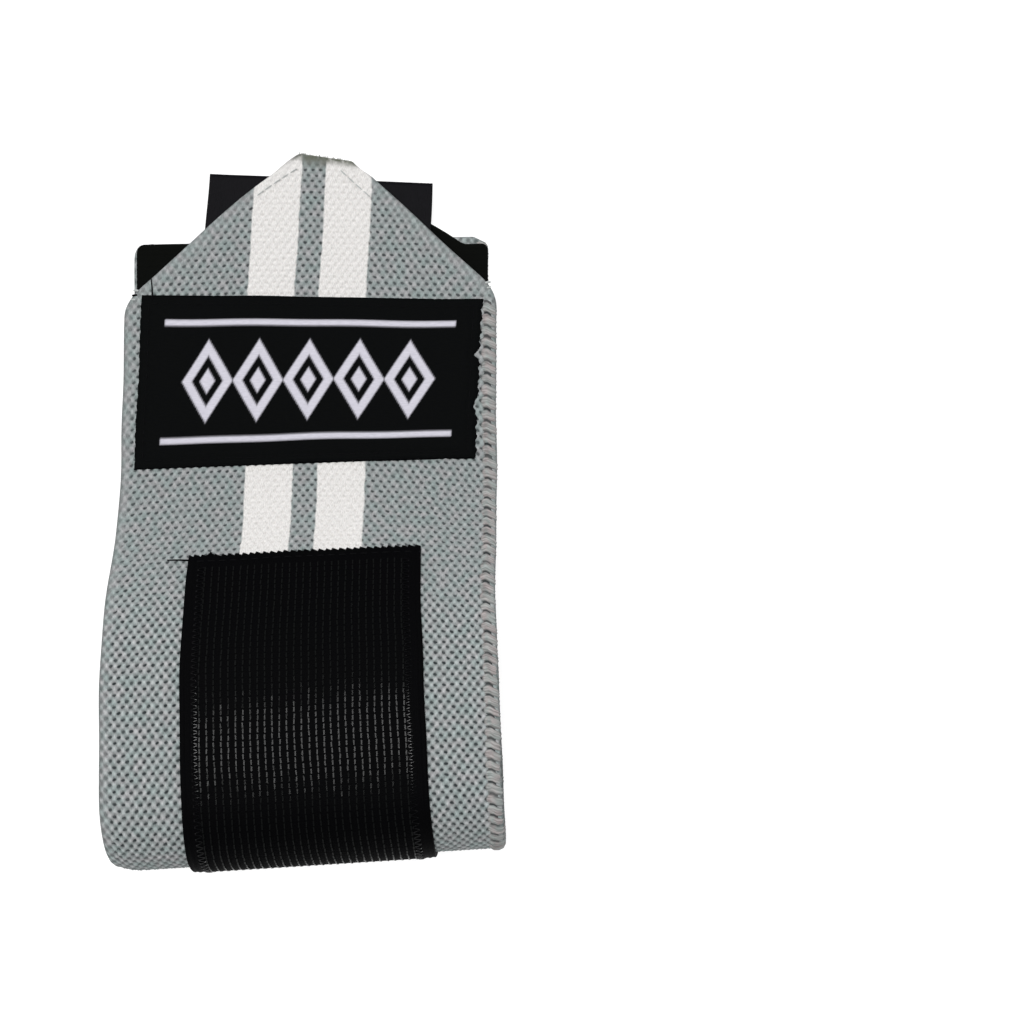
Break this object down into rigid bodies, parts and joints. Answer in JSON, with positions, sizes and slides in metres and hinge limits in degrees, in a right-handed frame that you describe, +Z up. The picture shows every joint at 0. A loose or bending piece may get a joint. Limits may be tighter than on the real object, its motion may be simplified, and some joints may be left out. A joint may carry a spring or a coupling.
{
  "type": "wrist wrap",
  "caption": "Elastic webbing wrist support, folded loosely in half, with a pointed tip, sewn hook and loop tapes, a plain woven label and a thumb loop.",
  "frame": {"origin": "on the table, under the middle of the folded wrap's box", "axes": "+X across the band, +Y from the fold towards the tip, +Z up from the table"},
  "size_m": [0.0814, 0.1508, 0.0295],
  "materials": {
    "elastic_webbing": "matt grey elastic webbing with a beaded weave and white woven stripes",
    "woven_label": "black woven satin label",
    "hook_tape": "black nylon hook tape with glossy hooks in rows",
    "loop_tape": "black nylon loop tape, plain woven back and soft pile",
    "black_elastic": "matt black knitted elastic"
  },
  "bodies": {
    "root": {"wrap_band": "elastic_webbing", "label": "woven_label", "hook_tape": "hook_tape", "loop_tape": "loop_tape", "thumb_loop": "black_elastic"}
  },
  "joints": []
}
